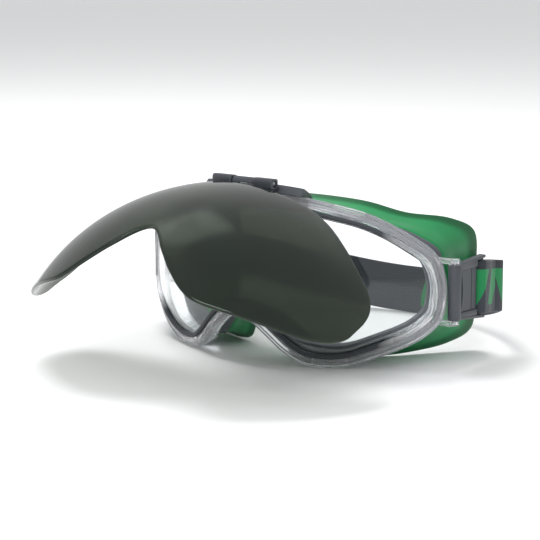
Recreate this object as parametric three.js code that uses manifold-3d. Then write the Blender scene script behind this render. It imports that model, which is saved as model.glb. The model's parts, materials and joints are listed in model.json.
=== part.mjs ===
// Welding goggles: a clear wrap-round goggle with a flip-up filter visor, face flange and head strap.
// Millimetres, +Z up, the wearer looks towards -Y, +X is the wearer's left.
// Shapes are laid out about the visor's hinge axis and moved to the bottom centre at the end.
import * as THREE from "three";
import { LoftGeometry } from "three/addons/geometries/LoftGeometry.js";
import { RoundedBoxGeometry } from "three/addons/geometries/RoundedBoxGeometry.js";
import { mergeVertices } from "three/addons/utils/BufferGeometryUtils.js";
import Module from "manifold-3d";

const wasm = await Module();
wasm.setup();

// Wrap surfaces: a round about an upright line, domed from top to bottom
const FRAME_WRAP = { centreY: 96.5, radius: 101.5, midZ: -49, domeRadius: 98 };
const VISOR_WRAP = { centreY: 89, radius: 101.6, midZ: -51.7, domeRadius: 97 };

// Clear frame: half outline as [distance round the wrap, height], top centre to nose
const FRAME_OUTLINE = [
  [0, -4.5], [25, -5.5], [43.6, -8], [62.8, -12.3], [81, -20.8], [93, -29.5],
  [97.2, -40], [97.5, -50], [95.2, -59.5], [86, -67.8], [66, -76.2], [54.2, -80.3],
  [43.8, -81.6], [30.8, -80.1], [21.8, -74.8], [15.3, -69.2], [8, -63.3], [0, -59.5],
];
const FRAME_DEPTH = 9;
const NOSE_DEPTH = 3.6;
const FRAME_FRONT = 2.4;
const FRAME_RIM = 4.7;
const FOOT_Z = -81.3;
const RING_STEPS = 108;

// Lens and gasket
const LENS_THICKNESS = 2.2;
const LENS_INSET = 6.2;
const GASKET_INSET = 5;
const GASKET_WIDTH = 2;
const FIT_GAP = 0.35;

// Face side: half outline of the flange's rear edge as [x, y, z], matched to FRAME_OUTLINE
const FLANGE_EDGE = [
  [0, 46, -12.3], [18, 45, -12.1], [36, 46.5, -13.2], [51, 54.5, -17.6], [64.5, 71, -20.6], [69.3, 80.5, -26],
  [69.4, 82.5, -41], [69.2, 82, -58], [68.8, 80, -71], [64, 70, -76], [56.5, 57, -78.4], [47, 43.5, -79.5],
  [37.5, 37, -79.4], [28.5, 33.5, -79.2], [20.5, 30, -77.5],
  [14.5, 25.5, -71.5], [8, 20.5, -65], [0, 18, -62],
];
const SEAL_END = 0.34;
const SEAL_INSET = 4.4;
const SEAL_NECK = 3;

// Ventilation inserts in the frame's top and bottom walls: [from, to] as shares of the outline
const TOP_VENT = [0.062, 0.084];
const BOTTOM_VENT = [0.326, 0.372];
const VENT_DEPTH = 1.3;

// Visor: half outline as [distance round the visor, height] when closed
const VISOR_OUTLINE = [
  [0, -7.4], [24.6, -7.7], [42.5, -7.9], [56.6, -10.6], [72.5, -18.4], [85.2, -25.4],
  [95.6, -31], [101, -38], [102.8, -48], [101.8, -60.5], [92, -72.5], [64.7, -85.2],
  [43.4, -90.4], [35, -88.9], [24.3, -83.3], [14.4, -75.6], [0, -64],
];
const VISOR_THICKNESS = 2;
const VISOR_RAISED = THREE.MathUtils.degToRad(68);

// Hinge
const KNUCKLE_RADIUS = 2.7;
const KNUCKLE_INNER_X = 6.2;
const KNUCKLE_OUTER_X = 17;
const LUG_HALF = 5.8;
const LUG_RADIUS = 2.1;
const PIN_RADIUS = 1.2;
const BORE_RADIUS = 1.5;
const ARM_FROM = 7.4;
const ARM_TO = 19;
const BRACKET_SHARE = 0.037;

// Strap clips: pin line and the clip's direction seen from above, for the wearer's left side
const CLIP_PIN = [85.9, 40.9];
const CLIP_AIM = [0.041, 0.99916];
const CLIP_MID_Z = -46.8;
const CLIP_HEIGHT = 25;
const CLIP_LENGTH = 21.5;
const CLIP_FLARE = 0.09;
const RAIL_HEIGHT = 1.4;
const CHEEK_HEIGHT = 3;
const PANEL_LENGTH = 14.1;
const BARREL_RADIUS = 3;
const PIN_BORE_REACH = 14.4;
const STRAP_BAR_AT = 19.5;
const STRAP_BAR_RADIUS = 1.4;

// Strap
const STRAP_WIDTH = 24;
const STRAP_THICKNESS = 1.5;
const STRAP_CENTRE_Y = 45;
const STRAP_HALF_WIDTH = 93.5;
const STRAP_REACH = 86;
const STRAP_DROOP = 0.15;
const STRAP_SAG = 19.425;
const STRAP_STEPS = 72;
const TAIL_END_AT = 32;
const LOOP_START_AT = 40;

const CLEAR = new THREE.Color(0.86, 0.88, 0.93);
const DARK_GREY = new THREE.Color(0.17, 0.19, 0.21);
const SEAL_GREY = new THREE.Color(0.21, 0.23, 0.25);
const GREEN = new THREE.Color(0.06, 0.42, 0.22);
const SMOKE = new THREE.Color(0.1, 0.12, 0.11);
const STEEL = new THREE.Color(0.6, 0.61, 0.63);

const group = new THREE.Group();
group.name = "welding_goggles";

function addPiece(name, geometry, color, roughness, metalness = 0) {
  const mesh = new THREE.Mesh(geometry, new THREE.MeshStandardMaterial({ color, roughness, metalness }));
  mesh.name = name;
  group.add(mesh);
}

function signedVolume(geometry) {
  const p = geometry.getAttribute("position");
  const index = geometry.index;
  const [a, b, c] = [new THREE.Vector3(), new THREE.Vector3(), new THREE.Vector3()];
  let sum = 0;
  for (let i = 0; i < index.count; i += 3) {
    a.fromBufferAttribute(p, index.getX(i));
    b.fromBufferAttribute(p, index.getX(i + 1));
    c.fromBufferAttribute(p, index.getX(i + 2));
    sum += a.dot(b.cross(c)) / 6;
  }
  return sum;
}

// Welds the seams and makes every face point outwards.
function closedSolid(geometry) {
  const bare = new THREE.BufferGeometry();
  bare.setAttribute("position", geometry.getAttribute("position"));
  bare.setIndex(geometry.index);
  const welded = mergeVertices(bare, 1e-4);
  if (signedVolume(welded) < 0) welded.setIndex([...welded.index.array].reverse());
  welded.computeVertexNormals();
  return welded;
}

// Lofts through sections; each is turned to run counterclockwise as seen from the loft's end.
function loftSolid(sections, capped) {
  const [first, second] = sections;
  const normal = new THREE.Vector3();
  const step = new THREE.Vector3();
  for (let i = 0; i < first.length; i++) {
    normal.add(first[i].clone().cross(first[(i + 1) % first.length]));
    step.add(second[i]).sub(first[i]);
  }
  if (normal.dot(step) < 0) for (const section of sections) section.reverse();
  return closedSolid(new LoftGeometry(sections, { capStart: capped, capEnd: capped }));
}

function toManifold(geometry) {
  const solid = closedSolid(geometry.index ? geometry : mergeVertices(geometry, 1e-4));
  const vertProperties = Float32Array.from(solid.getAttribute("position").array);
  const triVerts = Uint32Array.from(solid.index.array);
  return new wasm.Manifold(new wasm.Mesh({ numProp: 3, vertProperties, triVerts }));
}

function fromManifold(solid) {
  const mesh = solid.getMesh();
  const geometry = new THREE.BufferGeometry();
  geometry.setAttribute("position", new THREE.BufferAttribute(Float32Array.from(mesh.vertProperties), 3));
  geometry.setIndex(new THREE.BufferAttribute(Uint32Array.from(mesh.triVerts), 1));
  geometry.computeVertexNormals();
  return geometry;
}

// A point on a wrap surface, `round` along it from the middle, `out` mm in front of it.
function wrapPoint(wrap, round, z, out) {
  const angle = round / wrap.radius;
  const slope = (z - wrap.midZ) / wrap.domeRadius;
  const radius = wrap.radius - ((z - wrap.midZ) * slope) / 2;
  const normal = new THREE.Vector3(Math.sin(angle), -Math.cos(angle), slope).normalize();
  const base = new THREE.Vector3(radius * Math.sin(angle), wrap.centreY - radius * Math.cos(angle), z);
  return base.addScaledVector(normal, out);
}

function mirroredCurve(half) {
  const points = half.map((p) => new THREE.Vector3(...p, ...(p.length === 2 ? [0] : [])));
  const other = points.slice(1, -1).reverse();
  const mirrored = other.map((p) => new THREE.Vector3(-p.x, p.y, p.z));
  return new THREE.CatmullRomCurve3([...points, ...mirrored], true, "centripetal");
}

const frameCurve = mirroredCurve(FRAME_OUTLINE);
const flangeCurve = mirroredCurve(FLANGE_EDGE);
const visorCurve = mirroredCurve(VISOR_OUTLINE);

// A point `inset` mm inside a flat outline (negative is outside).
function insetPoint(curve, share, inset) {
  const t = ((share % 1) + 1) % 1;
  const tangent = curve.getTangent(t);
  const p = curve.getPoint(t);
  return [p.x + tangent.y * inset, p.y - tangent.x * inset];
}

function frameSection(share, profile) {
  return profile.map(([inset, out]) => wrapPoint(FRAME_WRAP, ...insetPoint(frameCurve, share, inset), out));
}

// How far the frame and the seal's front reach back: less over the nose.
function depthAt(share) {
  const away = THREE.MathUtils.smoothstep(Math.abs(share - 0.5), 0.08, 0.125);
  return THREE.MathUtils.lerp(NOSE_DEPTH, FRAME_DEPTH, away);
}

function frameRing(profileAt) {
  const sections = [];
  for (let i = 0; i <= RING_STEPS; i++) {
    sections.push(frameSection(i / RING_STEPS, profileAt(i / RING_STEPS)));
  }
  return loftSolid(sections, false);
}

function frameArc(profile, from, to, steps) {
  const sections = [];
  for (let i = 0; i <= steps; i++) {
    sections.push(frameSection(from + ((to - from) * i) / steps, profile));
  }
  return loftSolid(sections, true);
}

function box(sx, sy, sz, x, y, z) {
  return new THREE.BoxGeometry(sx, sy, sz).translate(x, y, z);
}

function rodX(radius, from, to, y, z) {
  const rod = new THREE.CylinderGeometry(radius, radius, to - from, 28);
  return rod.rotateZ(Math.PI / 2).translate((from + to) / 2, y, z);
}

function rodZ(radius, from, to, x, y, segments = 28) {
  const rod = new THREE.CylinderGeometry(radius, radius, to - from, segments);
  return rod.rotateX(Math.PI / 2).translate(x, y, (from + to) / 2);
}

// Turns a shape made along +Y at the origin so that it lies along a clip on one side.
function alongClip(geometry, side) {
  const turned = geometry.rotateZ(-Math.atan2(CLIP_AIM[0], CLIP_AIM[1]));
  const placed = turned.translate(CLIP_PIN[0], CLIP_PIN[1], CLIP_MID_Z);
  return closedSolid(side > 0 ? placed : placed.scale(-1, 1, 1));
}

function ventPocket([from, to], grow) {
  const profile = [
    [-1, -7.9 - grow], [-1, -2.9 + grow], [VENT_DEPTH + grow, -2.9 + grow], [VENT_DEPTH + grow, -7.9 - grow],
  ];
  return frameArc(profile, from - grow * 0.0022, to + grow * 0.0022, 5);
}

function makeFrameShell() {
  let shell = toManifold(frameRing((share) => [
    [0, -depthAt(share)], [0, 1], [0.9, FRAME_FRONT], [1.7, FRAME_FRONT], [2, 1.8], [2.7, 1.8],
    [3, FRAME_FRONT], [4.1, FRAME_FRONT], [FRAME_RIM, 1.6], [FRAME_RIM, -depthAt(share)],
  ]));
  for (const side of [1, -1]) {
    for (const z of [CLIP_MID_Z + CLIP_HEIGHT / 2 + 1.5, CLIP_MID_Z - CLIP_HEIGHT / 2 - 1.5]) {
      const ear = new THREE.CylinderGeometry(2.1, 2.1, 2.2, 28).rotateX(Math.PI / 2);
      ear.translate(side * CLIP_PIN[0], CLIP_PIN[1], z);
      const web = box(11, 3.6, 2.2, side * (CLIP_PIN[0] - 5.5), CLIP_PIN[1] - 1.6, z);
      shell = shell.add(toManifold(ear)).add(toManifold(web));
    }
    const [from, to] = [CLIP_MID_Z - PIN_BORE_REACH, CLIP_MID_Z + PIN_BORE_REACH];
    const bore = rodZ(BORE_RADIUS - 0.2, from, to, side * CLIP_PIN[0], CLIP_PIN[1]);
    shell = shell.subtract(toManifold(bore));
    for (const vent of [TOP_VENT, BOTTOM_VENT]) {
      const span = side > 0 ? vent : [1 - vent[1], 1 - vent[0]];
      shell = shell.subtract(toManifold(ventPocket(span, 0.3)));
    }
  }
  return fromManifold(shell.subtract(toManifold(box(240, 120, 20, 0, 30, FOOT_Z - 10))));
}

function makeVentInsert(span) {
  const profile = [[0.1, -7.9], [0.1, -2.9], [VENT_DEPTH, -2.9], [VENT_DEPTH, -7.9]];
  return frameArc(profile, ...span, 5);
}

function makeGasket() {
  const end = GASKET_INSET + GASKET_WIDTH;
  const groove = LENS_INSET - FIT_GAP;
  const half = LENS_THICKNESS / 2 + FIT_GAP;
  return frameRing(() => [
    [GASKET_INSET, -3.4], [GASKET_INSET, 2.3], [GASKET_INSET + 0.7, 2.8], [end - 0.7, 2.7], [end, 2.2],
    [end, half], [groove, half], [groove, -half], [end, -half], [end, -3.4],
  ]);
}

// Highest or lowest point of a sampled outline at one distance round the wrap.
function edgeHeight(samples, round, upper) {
  let best = upper ? -Infinity : Infinity;
  for (let i = 0; i < samples.length; i++) {
    const [a, b] = [samples[i], samples[(i + 1) % samples.length]];
    if ((a[0] - round) * (b[0] - round) > 0 || a[0] === b[0]) continue;
    const z = a[1] + ((round - a[0]) * (b[1] - a[1])) / (b[0] - a[0]);
    best = upper ? Math.max(best, z) : Math.min(best, z);
  }
  return best;
}

// A curved plate that fills an outline, built from upright slices.
function wrapPlate(wrap, curve, inset, thickness, slices, rows) {
  const samples = [];
  for (let i = 0; i < 480; i++) samples.push(insetPoint(curve, i / 480, inset));
  const reach = Math.max(...samples.map((p) => p[0])) - 0.35;
  const sections = [];
  for (let i = 0; i <= slices; i++) {
    const round = reach * Math.sin(Math.PI * (i / slices - 0.5));
    const top = edgeHeight(samples, round, true);
    const bottom = edgeHeight(samples, round, false);
    const front = [];
    const back = [];
    for (let j = 0; j <= rows; j++) {
      const z = bottom + ((top - bottom) * j) / rows;
      front.push(wrapPoint(wrap, round, z, thickness / 2));
      back.unshift(wrapPoint(wrap, round, z, -thickness / 2));
    }
    sections.push([...front, ...back]);
  }
  return loftSolid(sections, true);
}

// A soft skirt between the frame's back and the flange's rear edge. The profile holds
// [share of the way back, thickness side] pairs; the neck holds [inset, gap behind the frame] pairs.
function skirt(profile, neck) {
  const sections = [];
  for (let i = 0; i <= RING_STEPS; i++) {
    const share = i / RING_STEPS;
    const depth = depthAt(share);
    const start = insetPoint(frameCurve, share, SEAL_INSET);
    const front = wrapPoint(FRAME_WRAP, ...start, -depth - SEAL_NECK);
    const rear = flangeCurve.getPoint(share % 1);
    const along = rear.clone().sub(front);
    const outward = flangeCurve.getTangent(share % 1).cross(along).normalize();
    const ring = profile.map(([v, h]) => front.clone().addScaledVector(along, v).addScaledVector(outward, h));
    const near = neck.map(([inset, gap]) => [inset, -depth - gap]);
    sections.push([...frameSection(share, near), ...ring]);
  }
  return loftSolid(sections, false);
}

function makeSealBody() {
  const neck = [[SEAL_INSET + 1.5, FIT_GAP], [SEAL_INSET - 1.4, FIT_GAP]];
  return skirt([
    [0, 1.4], [0.1, 2.1], [0.24, 2.3], [SEAL_END - 0.03, 1.5],
    [SEAL_END - 0.03, -1.3], [0.2, -1.7], [0, -1.5],
  ], neck);
}

function makeFaceFlange() {
  return skirt([
    [SEAL_END, 1.5], [0.45, 1.1], [0.62, 0.5], [0.78, 0.6], [0.9, 1.4], [0.97, 2], [1, 1.5],
    [1.01, 0.2], [1, -1.1], [0.94, -1.7], [0.8, -1.6], [0.6, -1.5], [SEAL_END, -1.3],
  ], []);
}

function raise(geometry) {
  return geometry.rotateX(-VISOR_RAISED);
}

function makeHingeBase() {
  const profile = [
    [-3, 2.7], [-3.3, -3], [-3, -10], [2.4, -10.3], [2.4, -9.4], [-FIT_GAP, -9.4], [-FIT_GAP, 1.4],
    [0.5, 2.5], [0.8, 3.1], [-1.6, 3.3],
  ];
  let base = toManifold(frameArc(profile, -BRACKET_SHARE, BRACKET_SHARE, 20));
  const lug = rodX(LUG_RADIUS, -LUG_HALF, LUG_HALF, 0, 0);
  const web = box(2 * LUG_HALF, 5, 3.6, 0, 2.6, -1.1);
  base = base.add(toManifold(lug)).add(toManifold(web));
  base = base.subtract(toManifold(box(5.6, 4.4, 3.4, 0, -1.2, -2)));
  return fromManifold(base.subtract(toManifold(rodX(BORE_RADIUS, -30, 30, 0, 0))));
}

// A band that follows the visor's wrap, from a ring of [height, out] pairs.
function visorBand(ring, from, to, steps) {
  const sections = [];
  for (let i = 0; i <= steps; i++) {
    const round = from + ((to - from) * i) / steps;
    sections.push(ring.map(([z, out]) => wrapPoint(VISOR_WRAP, round, z, out)));
  }
  return toManifold(loftSolid(sections, true));
}

// The visor's carrier: two knuckles, their arms and the plate bonded inside the visor's top edge.
function makeVisorCarrier() {
  const plate = [[-9, -1.4], [-17, -1.4], [-17, -2.4], [-9, -2.4]];
  const arm = [
    [-10.5, -1.4], [-7, -1.4], [-5.6, -0.4], [-1, -0.2], [-1, -1.6], [-5.6, -1.9], [-7, -2.4], [-10.5, -2.4],
  ];
  let carrier = visorBand(plate, -19.5, 19.5, 10);
  for (const side of [1, -1]) {
    const ends = [side * KNUCKLE_INNER_X, side * KNUCKLE_OUTER_X].sort((a, b) => a - b);
    const rounds = [side * ARM_FROM, side * ARM_TO].sort((a, b) => a - b);
    carrier = carrier.add(toManifold(rodX(KNUCKLE_RADIUS, ...ends, 0, 0)));
    carrier = carrier.add(visorBand(arm, ...rounds, 4));
  }
  return raise(fromManifold(carrier.subtract(toManifold(rodX(BORE_RADIUS, -30, 30, 0, 0)))));
}

function makeStrapClip(side) {
  const half = CLIP_HEIGHT / 2;
  const panelAt = 1.7 + PANEL_LENGTH / 2;
  let clip = toManifold(rodZ(BARREL_RADIUS, -half, half, 0, 0));
  for (const end of [1, -1]) {
    const rail = new RoundedBoxGeometry(3.6, CLIP_LENGTH, RAIL_HEIGHT, 2, 0.5);
    rail.translate(0, CLIP_LENGTH / 2, 0).rotateX(end * CLIP_FLARE);
    rail.translate(0, 0, end * (half - RAIL_HEIGHT / 2));
    const cheek = new RoundedBoxGeometry(3.4, PANEL_LENGTH, CHEEK_HEIGHT, 2, 0.5);
    cheek.translate(-0.1, panelAt, end * (half - CHEEK_HEIGHT / 2));
    clip = clip.add(toManifold(rail)).add(toManifold(cheek));
  }
  const panel = new RoundedBoxGeometry(2, PANEL_LENGTH, CLIP_HEIGHT, 2, 0.4).translate(-0.3, panelAt, 0);
  const strapBar = rodZ(STRAP_BAR_RADIUS, -half - 0.9, half + 0.9, 0, STRAP_BAR_AT, 20);
  clip = clip.add(toManifold(panel)).add(toManifold(strapBar));
  clip = clip.subtract(toManifold(rodZ(BORE_RADIUS - 0.2, -20, 20, 0, 0)));
  return alongClip(fromManifold(clip), side);
}

function makeClipPin(side) {
  const reach = PIN_BORE_REACH - FIT_GAP;
  return alongClip(rodZ(1, -reach, reach, 0, 0, 20), side);
}

// The strap's run on the wearer's left: tail, turn round the clip's bar, then the loop.
function strapHalfRun() {
  const [ax, ay] = CLIP_AIM;
  const at = (along, out) => new THREE.Vector3(
    CLIP_PIN[0] + ax * along + ay * out,
    CLIP_PIN[1] + ay * along - ax * out,
    CLIP_MID_Z - STRAP_DROOP * Math.max(0, along - STRAP_BAR_AT),
  );
  const turn = STRAP_BAR_RADIUS + 0.35 + STRAP_THICKNESS / 2;
  const run = [at(TAIL_END_AT, -1), at(28, -0.1), at(24, 1.4)];
  for (let i = 0; i <= 8; i++) {
    const angle = (Math.PI * i) / 8;
    run.push(at(STRAP_BAR_AT - turn * Math.sin(angle), turn * Math.cos(angle)));
  }
  run.push(at(24, -turn + 0.3), at(28, -2.7), at(TAIL_END_AT, -3.2));
  return run;
}

function makeStrap() {
  const run = strapHalfRun();
  const first = Math.asin((CLIP_PIN[1] + LOOP_START_AT - STRAP_CENTRE_Y) / STRAP_REACH);
  const startZ = CLIP_MID_Z - STRAP_DROOP * (LOOP_START_AT - STRAP_BAR_AT);
  const plan = [...run];
  for (let i = 0; i <= STRAP_STEPS; i++) {
    const angle = first + ((Math.PI - 2 * first) * i) / STRAP_STEPS;
    const sag = STRAP_SAG * Math.sin((Math.PI * i) / STRAP_STEPS) ** 1.2;
    const [x, y] = [STRAP_HALF_WIDTH * Math.cos(angle), STRAP_CENTRE_Y + STRAP_REACH * Math.sin(angle)];
    plan.push(new THREE.Vector3(x, y, startZ - sag));
  }
  for (const p of run.reverse()) plan.push(new THREE.Vector3(-p.x, p.y, p.z));
  const sections = plan.map((p, i) => {
    const before = plan[Math.max(i - 1, 0)];
    const after = plan[Math.min(i + 1, plan.length - 1)];
    const side = new THREE.Vector3(after.y - before.y, before.x - after.x, 0).setLength(STRAP_THICKNESS / 2);
    const corner = (way, z) => p.clone().addScaledVector(side, way).add(new THREE.Vector3(0, 0, z));
    const h = STRAP_WIDTH / 2;
    return [corner(1, -h), corner(1, h), corner(-1, h), corner(-1, -h)];
  });
  return loftSolid(sections, true);
}

addPiece("frame_shell", makeFrameShell(), CLEAR, 0.08);
addPiece("clear_lens", wrapPlate(FRAME_WRAP, frameCurve, LENS_INSET, LENS_THICKNESS, 48, 8), CLEAR, 0.04);
addPiece("lens_gasket", makeGasket(), DARK_GREY, 0.6);
addPiece("seal_body", makeSealBody(), SEAL_GREY, 0.7);
addPiece("face_flange", makeFaceFlange(), GREEN, 0.45);
addPiece("vent_insert_top_left", makeVentInsert(TOP_VENT), SEAL_GREY, 0.6);
addPiece("vent_insert_top_right", makeVentInsert([1 - TOP_VENT[1], 1 - TOP_VENT[0]]), SEAL_GREY, 0.6);
addPiece("vent_insert_bottom_left", makeVentInsert(BOTTOM_VENT), CLEAR, 0.3);
addPiece("vent_insert_bottom_right", makeVentInsert([1 - BOTTOM_VENT[1], 1 - BOTTOM_VENT[0]]), CLEAR, 0.3);
addPiece("hinge_base", makeHingeBase(), DARK_GREY, 0.5);
addPiece("hinge_pin", closedSolid(rodX(PIN_RADIUS, -16.6, 16.6, 0, 0)), STEEL, 0.3, 1);
addPiece("visor_carrier", makeVisorCarrier(), DARK_GREY, 0.5);
addPiece("filter_visor", raise(wrapPlate(VISOR_WRAP, visorCurve, 0, VISOR_THICKNESS, 56, 10)), SMOKE, 0.12);
for (const [name, side] of [["left", 1], ["right", -1]]) {
  addPiece("strap_clip_" + name, makeStrapClip(side), DARK_GREY, 0.5);
  addPiece("clip_pin_" + name, makeClipPin(side), STEEL, 0.3, 1);
}
addPiece("head_strap", makeStrap(), SEAL_GREY, 0.9);

// Bottom centre to the origin
const bounds = new THREE.Box3().setFromObject(group);
const middle = bounds.getCenter(new THREE.Vector3());
for (const mesh of group.children) {
  mesh.geometry.translate(-middle.x, -middle.y, -bounds.min.z);
}

export default group;
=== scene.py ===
"""Welding goggles: finishes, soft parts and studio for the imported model."""

import json
import math

import bmesh
import bpy
from mathutils import Matrix, Vector
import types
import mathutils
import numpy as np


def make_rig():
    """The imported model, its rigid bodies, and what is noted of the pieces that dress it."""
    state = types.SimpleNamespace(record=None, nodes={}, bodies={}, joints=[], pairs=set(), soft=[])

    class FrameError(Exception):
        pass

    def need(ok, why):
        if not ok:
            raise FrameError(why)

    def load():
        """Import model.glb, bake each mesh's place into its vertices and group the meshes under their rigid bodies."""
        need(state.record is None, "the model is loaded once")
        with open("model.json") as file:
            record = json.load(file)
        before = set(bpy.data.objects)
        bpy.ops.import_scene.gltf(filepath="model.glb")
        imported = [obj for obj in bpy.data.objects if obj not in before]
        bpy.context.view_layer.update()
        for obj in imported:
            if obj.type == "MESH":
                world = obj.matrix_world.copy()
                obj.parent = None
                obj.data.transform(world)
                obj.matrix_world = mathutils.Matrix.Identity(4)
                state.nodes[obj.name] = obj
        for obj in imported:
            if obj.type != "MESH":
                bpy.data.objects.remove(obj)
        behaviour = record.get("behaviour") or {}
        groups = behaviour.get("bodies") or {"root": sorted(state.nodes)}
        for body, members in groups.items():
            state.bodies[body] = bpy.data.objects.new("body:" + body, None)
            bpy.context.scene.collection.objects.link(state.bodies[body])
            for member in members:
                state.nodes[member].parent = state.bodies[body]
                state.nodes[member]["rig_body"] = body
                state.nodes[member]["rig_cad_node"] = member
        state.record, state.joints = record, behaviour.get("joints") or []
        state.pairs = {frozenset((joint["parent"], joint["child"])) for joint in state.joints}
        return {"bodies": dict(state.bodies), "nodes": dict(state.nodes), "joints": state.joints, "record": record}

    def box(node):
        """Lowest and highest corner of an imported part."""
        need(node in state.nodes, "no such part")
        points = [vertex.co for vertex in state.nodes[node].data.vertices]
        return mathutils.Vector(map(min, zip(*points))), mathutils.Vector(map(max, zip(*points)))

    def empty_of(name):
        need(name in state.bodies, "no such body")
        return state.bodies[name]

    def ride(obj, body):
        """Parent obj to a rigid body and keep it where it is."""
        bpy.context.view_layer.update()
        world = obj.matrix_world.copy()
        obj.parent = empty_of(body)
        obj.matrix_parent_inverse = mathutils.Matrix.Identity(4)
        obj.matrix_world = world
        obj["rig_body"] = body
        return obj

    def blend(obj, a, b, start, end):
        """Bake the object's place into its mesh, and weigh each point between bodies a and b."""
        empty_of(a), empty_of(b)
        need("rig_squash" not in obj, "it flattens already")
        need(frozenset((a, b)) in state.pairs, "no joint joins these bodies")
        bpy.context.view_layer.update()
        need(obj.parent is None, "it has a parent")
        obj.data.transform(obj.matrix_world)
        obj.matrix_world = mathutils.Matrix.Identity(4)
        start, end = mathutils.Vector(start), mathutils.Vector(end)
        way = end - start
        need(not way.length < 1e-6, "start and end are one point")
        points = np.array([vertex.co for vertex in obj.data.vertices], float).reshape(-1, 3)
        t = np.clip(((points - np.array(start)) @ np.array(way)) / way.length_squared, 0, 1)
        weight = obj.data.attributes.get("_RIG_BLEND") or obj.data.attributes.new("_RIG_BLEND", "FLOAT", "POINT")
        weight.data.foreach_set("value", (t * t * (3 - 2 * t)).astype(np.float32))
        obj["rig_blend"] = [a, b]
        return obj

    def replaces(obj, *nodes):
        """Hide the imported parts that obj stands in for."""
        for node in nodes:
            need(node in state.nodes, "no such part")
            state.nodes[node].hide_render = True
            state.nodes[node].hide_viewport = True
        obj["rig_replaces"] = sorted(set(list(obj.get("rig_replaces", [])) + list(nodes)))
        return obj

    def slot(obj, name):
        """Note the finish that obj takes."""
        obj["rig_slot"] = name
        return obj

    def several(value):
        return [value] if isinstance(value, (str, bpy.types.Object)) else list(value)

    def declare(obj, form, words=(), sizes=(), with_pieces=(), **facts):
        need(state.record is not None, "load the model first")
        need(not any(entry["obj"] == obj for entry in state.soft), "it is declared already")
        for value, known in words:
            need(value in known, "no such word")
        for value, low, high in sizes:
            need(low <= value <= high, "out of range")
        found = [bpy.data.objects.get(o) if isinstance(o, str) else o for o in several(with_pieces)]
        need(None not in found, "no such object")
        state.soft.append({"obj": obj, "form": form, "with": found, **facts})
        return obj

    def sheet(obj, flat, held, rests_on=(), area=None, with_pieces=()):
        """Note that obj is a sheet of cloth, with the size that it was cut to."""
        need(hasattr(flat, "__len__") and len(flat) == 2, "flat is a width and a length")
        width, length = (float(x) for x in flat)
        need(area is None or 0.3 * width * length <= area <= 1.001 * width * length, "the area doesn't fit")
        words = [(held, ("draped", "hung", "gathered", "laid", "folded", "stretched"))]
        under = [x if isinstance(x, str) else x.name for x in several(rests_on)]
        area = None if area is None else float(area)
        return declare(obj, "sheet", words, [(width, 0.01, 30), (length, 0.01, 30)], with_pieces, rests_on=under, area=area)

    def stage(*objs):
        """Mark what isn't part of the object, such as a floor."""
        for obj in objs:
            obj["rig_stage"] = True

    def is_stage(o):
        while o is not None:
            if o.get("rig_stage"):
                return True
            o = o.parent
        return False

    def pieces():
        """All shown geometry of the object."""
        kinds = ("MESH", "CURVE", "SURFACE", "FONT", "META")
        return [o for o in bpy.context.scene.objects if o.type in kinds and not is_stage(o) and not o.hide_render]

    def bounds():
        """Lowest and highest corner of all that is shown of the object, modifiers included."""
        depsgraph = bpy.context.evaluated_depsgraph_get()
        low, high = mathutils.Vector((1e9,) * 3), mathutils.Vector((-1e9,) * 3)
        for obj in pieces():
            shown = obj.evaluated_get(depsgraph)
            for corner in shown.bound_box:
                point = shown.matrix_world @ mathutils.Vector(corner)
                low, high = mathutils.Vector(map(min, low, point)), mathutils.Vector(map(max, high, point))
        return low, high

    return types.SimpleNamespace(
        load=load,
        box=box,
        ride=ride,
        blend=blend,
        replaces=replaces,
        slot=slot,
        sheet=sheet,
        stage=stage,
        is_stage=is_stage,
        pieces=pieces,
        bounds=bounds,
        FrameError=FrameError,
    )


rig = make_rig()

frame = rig.load()

bl_info = {
    "name": "Welding Goggles",
    "version": (1, 0, 0),
    "blender": (4, 5, 0),
    "location": "3D View > Sidebar > Goggles",
    "description": "Builds the finished look of a pair of flip-up welding goggles",
    "category": "Object",
}

MM = 0.001
CAD_BOX = [list(corner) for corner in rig.bounds()]
HINGE = sum(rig.box("hinge_pin"), Vector()) / 2

# The two wrap surfaces, in millimetres from the hinge line
FRAME_WRAP = {"centre_y": 96.5, "radius": 101.5, "mid_z": -49, "dome": 98}
VISOR_WRAP = {"centre_y": 89, "radius": 101.6, "mid_z": -51.7, "dome": 97}
VISOR_RAISED = math.radians(68)

# Half outlines, top centre to nose
FRAME_OUTLINE = [
    (0, -4.5), (25, -5.5), (43.6, -8), (62.8, -12.3), (81, -20.8), (93, -29.5),
    (97.2, -40), (97.5, -50), (95.2, -59.5), (86, -67.8), (66, -76.2), (54.2, -80.3),
    (43.8, -81.6), (30.8, -80.1), (21.8, -74.8), (15.3, -69.2), (8, -63.3), (0, -59.5),
]
FLANGE_EDGE = [
    (0, 46, -12.3), (18, 45, -12.1), (36, 46.5, -13.2), (51, 54.5, -17.6), (64.5, 71, -20.6),
    (69.3, 80.5, -26),
    (69.4, 82.5, -41), (69.2, 82, -58), (68.8, 80, -71), (64, 70, -76), (56.5, 57, -78.4),
    (47, 43.5, -79.5), (37.5, 37, -79.4), (28.5, 33.5, -79.2), (20.5, 30, -77.5), (14.5, 25.5, -71.5),
    (8, 20.5, -65), (0, 18, -62),
]
VISOR_OUTLINE = [
    (0, -7.4), (24.6, -7.7), (42.5, -7.9), (56.6, -10.6), (72.5, -18.4), (85.2, -25.4),
    (95.6, -31), (101, -38), (102.8, -48), (101.8, -60.5), (92, -72.5), (64.7, -85.2),
    (43.4, -90.4), (35, -88.9), (24.3, -83.3), (14.4, -75.6), (0, -64),
]
FRAME_DEPTH = 9
NOSE_DEPTH = 3.6
FOOT_Z = -81.3
SEAL_INSET = 4.4
SEAL_NECK = 3
SEAL_END = 0.34
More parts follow.
